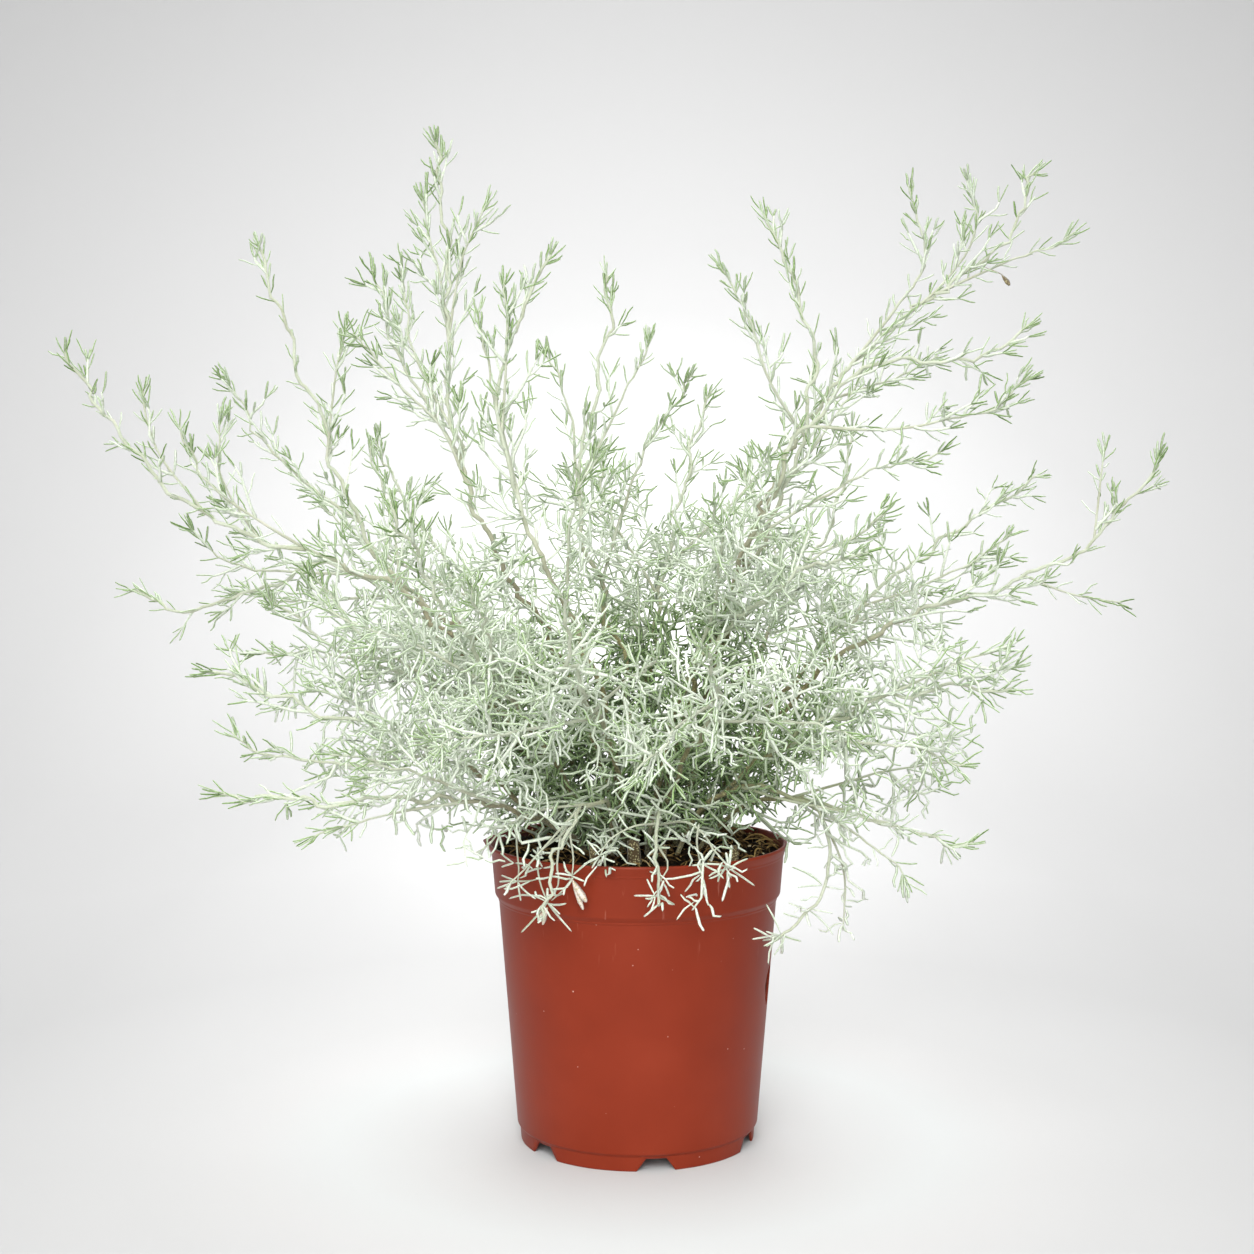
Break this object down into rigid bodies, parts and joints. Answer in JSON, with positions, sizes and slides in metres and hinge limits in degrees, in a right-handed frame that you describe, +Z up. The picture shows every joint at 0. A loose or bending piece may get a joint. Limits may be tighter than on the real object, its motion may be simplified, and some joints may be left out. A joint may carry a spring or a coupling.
{
  "type": "potted silky eremophila",
  "caption": "Shrubby potted plant: long felted stems with side sprays of silvery needle leaves, standing in compost in a tapered nursery pot with a stepped collar and cut-out feet.",
  "frame": {"origin": "middle of the plant's whole extent on the ground, which is the middle of the pot's foot to within a few millimetres", "axes": "+Z up along the pot's axis; +X to the right of the view in the picture, along the plant's widest spread; +Y away from the viewer"},
  "size_m": [0.7206, 0.5377, 0.6538],
  "materials": {
    "pot_plastic": "satin",
    "compost": "matte",
    "felted_foliage": "matte"
  },
  "bodies": {
    "root": {"pot": "pot_plastic", "soil": "compost", "leafy_stem_01": "felted_foliage", "leafy_stem_02": "felted_foliage", "leafy_stem_03": "felted_foliage", "leafy_stem_04": "felted_foliage", "leafy_stem_05": "felted_foliage", "leafy_stem_06": "felted_foliage", "leafy_stem_07": "felted_foliage", "leafy_stem_08": "felted_foliage", "leafy_stem_09": "felted_foliage", "leafy_stem_10": "felted_foliage", "leafy_stem_11": "felted_foliage", "leafy_stem_12": "felted_foliage", "leafy_stem_13": "felted_foliage", "leafy_stem_14": "felted_foliage", "leafy_stem_15": "felted_foliage", "leafy_stem_16": "felted_foliage", "leafy_stem_17": "felted_foliage", "leafy_stem_18": "felted_foliage", "leafy_stem_19": "felted_foliage", "leafy_stem_20": "felted_foliage", "leafy_stem_21": "felted_foliage", "leafy_stem_22": "felted_foliage", "leafy_stem_23": "felted_foliage", "leafy_stem_24": "felted_foliage", "leafy_stem_25": "felted_foliage", "leafy_stem_26": "felted_foliage", "leafy_stem_27": "felted_foliage"}
  },
  "joints": []
}
